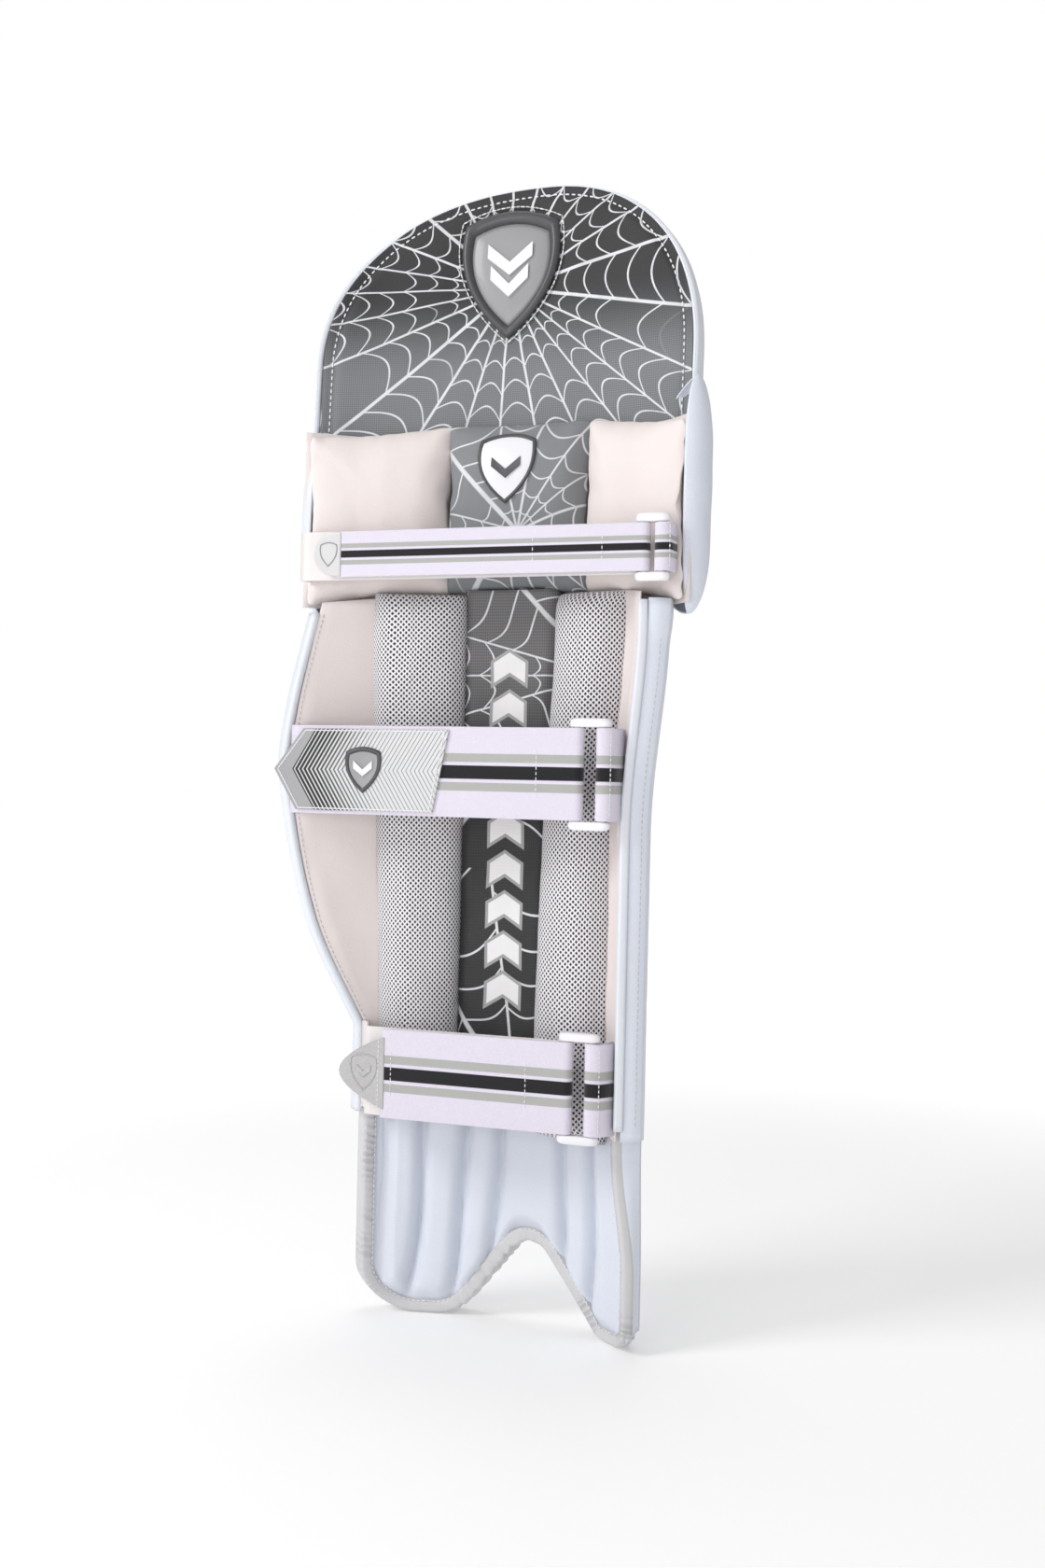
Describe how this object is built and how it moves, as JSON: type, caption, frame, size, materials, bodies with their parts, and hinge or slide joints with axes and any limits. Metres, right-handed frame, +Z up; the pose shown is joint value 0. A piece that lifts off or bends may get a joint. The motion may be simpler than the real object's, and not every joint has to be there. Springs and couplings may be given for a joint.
{
  "type": "cricket leg pad",
  "caption": "Cricket batting leg pad with shin, knee and top-hat sections, side wing, split instep and ring-and-tail straps.",
  "frame": {"origin": "on the floor under the middle of the shin lining, at the level of the lowest points of the two instep lobes", "axes": "+Z up the shin, +Y the ball side (front), -Y the leg side with the straps, +X the side with the strap rings"},
  "size_m": [0.2456, 0.0896, 0.6596],
  "materials": {
    "white_pu": "smooth coated synthetic leather",
    "cream_lining": "soft brushed lining",
    "grey_binding": "satin silver-grey synthetic leather",
    "foam": "closed-cell foam",
    "carbon_cloth": "woven lining with a printed web",
    "net_cloth": "white net over dark grey",
    "grey_satin": "grey satin lining",
    "elastic": "woven striped elastic",
    "white_plastic": "moulded nylon",
    "grey_rubber": "moulded rubber",
    "hook_tape": "hook tape"
  },
  "bodies": {
    "instep": {"instep_lining": "cream_lining", "instep_face": "white_pu", "instep_canes": "white_pu", "instep_binding": "grey_binding"},
    "shin": {"shin_lining": "cream_lining", "shin_foam_board": "foam", "shin_face": "white_pu", "shin_canes": "white_pu", "right_flap_lining": "cream_lining", "right_flap_foam": "foam", "right_flap_face": "white_pu", "right_flap_binding": "white_pu", "bolster_left": "net_cloth", "bolster_right": "net_cloth", "centre_pad": "carbon_cloth", "calf_strap_base": "elastic", "calf_strap_anchor": "elastic", "ankle_strap_base": "elastic", "ankle_strap_anchor": "elastic"},
    "wing": {"wing_lining": "cream_lining", "wing_foam": "foam", "wing_face": "white_pu", "wing_binding": "white_pu"},
    "knee_block": {"knee_board": "foam", "knee_roll_lower": "white_pu", "knee_roll_middle": "white_pu", "knee_roll_upper": "white_pu", "knee_cheek_left": "white_pu", "knee_cheek_right": "white_pu", "knee_cushion_left": "cream_lining", "knee_cushion_centre": "grey_satin", "knee_cushion_right": "cream_lining", "knee_label": "grey_rubber", "knee_strap_base": "elastic", "knee_strap_anchor": "elastic"},
    "top_hat": {"top_hat_lining": "carbon_cloth", "top_hat_foam": "foam", "top_hat_face": "white_pu", "top_hat_canes": "white_pu", "top_hat_binding": "white_pu", "top_hat_badge_frame": "grey_rubber", "top_hat_badge_insert": "grey_rubber"},
    "knee_ring": {"knee_strap_loop": "white_plastic"},
    "knee_tail": {"knee_strap_tail": "elastic", "knee_strap_hook_patch": "hook_tape", "knee_strap_tip": "white_plastic"},
    "calf_ring": {"calf_strap_loop": "white_plastic"},
    "calf_tail": {"calf_strap_tail": "elastic", "calf_strap_hook_patch": "hook_tape", "calf_strap_label": "grey_rubber"},
    "ankle_ring": {"ankle_strap_loop": "white_plastic"},
    "ankle_tail": {"ankle_strap_tail": "elastic", "ankle_strap_hook_patch": "hook_tape", "ankle_strap_tip": "grey_binding"}
  },
  "joints": [
    {"name": "knee_flex", "type": "hinge", "parent": "shin", "child": "knee_block", "pos_m": [0, -0.005, 0.405], "axis": [-1, 0, 0], "range_deg": [-6, 20], "stiffness_Nm_per_rad": 8},
    {"name": "top_hat_flex", "type": "hinge", "parent": "knee_block", "child": "top_hat", "pos_m": [0, -0.005, 0.515], "axis": [-1, 0, 0], "range_deg": [-6, 20], "stiffness_Nm_per_rad": 4},
    {"name": "wing_fold", "type": "hinge", "parent": "shin", "child": "wing", "pos_m": [-0.0883, -0.0104, 0.284], "axis": [0, 0, -1], "range_deg": [-3, 40], "stiffness_Nm_per_rad": 0.5},
    {"name": "instep_flex", "type": "hinge", "parent": "shin", "child": "instep", "pos_m": [0, -0.015, 0.116], "axis": [1, 0, 0], "range_deg": [-8, 12], "stiffness_Nm_per_rad": 12},
    {"name": "knee_ring_tilt", "type": "hinge", "parent": "knee_block", "child": "knee_ring", "pos_m": [0.1015, -0.049, 0.438], "axis": [0, 0, 1], "range_deg": [0, 25], "stiffness_Nm_per_rad": 0.02},
    {"name": "knee_tail_peel", "type": "hinge", "parent": "knee_ring", "child": "knee_tail", "pos_m": [0.0915, -0.049, 0.438], "axis": [0, 0, 1], "range_deg": [0, 120], "stiffness_Nm_per_rad": 0.02},
    {"name": "calf_ring_tilt", "type": "hinge", "parent": "shin", "child": "calf_ring", "pos_m": [0.0725, -0.052, 0.316], "axis": [0, 0, 1], "range_deg": [0, 25], "stiffness_Nm_per_rad": 0.02},
    {"name": "calf_tail_peel", "type": "hinge", "parent": "calf_ring", "child": "calf_tail", "pos_m": [0.058, -0.052, 0.316], "axis": [0, 0, 1], "range_deg": [0, 120], "stiffness_Nm_per_rad": 0.02},
    {"name": "ankle_ring_tilt", "type": "hinge", "parent": "shin", "child": "ankle_ring", "pos_m": [0.0685, -0.047, 0.146], "axis": [0, 0, 1], "range_deg": [0, 25], "stiffness_Nm_per_rad": 0.02},
    {"name": "ankle_tail_peel", "type": "hinge", "parent": "ankle_ring", "child": "ankle_tail", "pos_m": [0.054, -0.047, 0.146], "axis": [0, 0, 1], "range_deg": [0, 120], "stiffness_Nm_per_rad": 0.02}
  ]
}
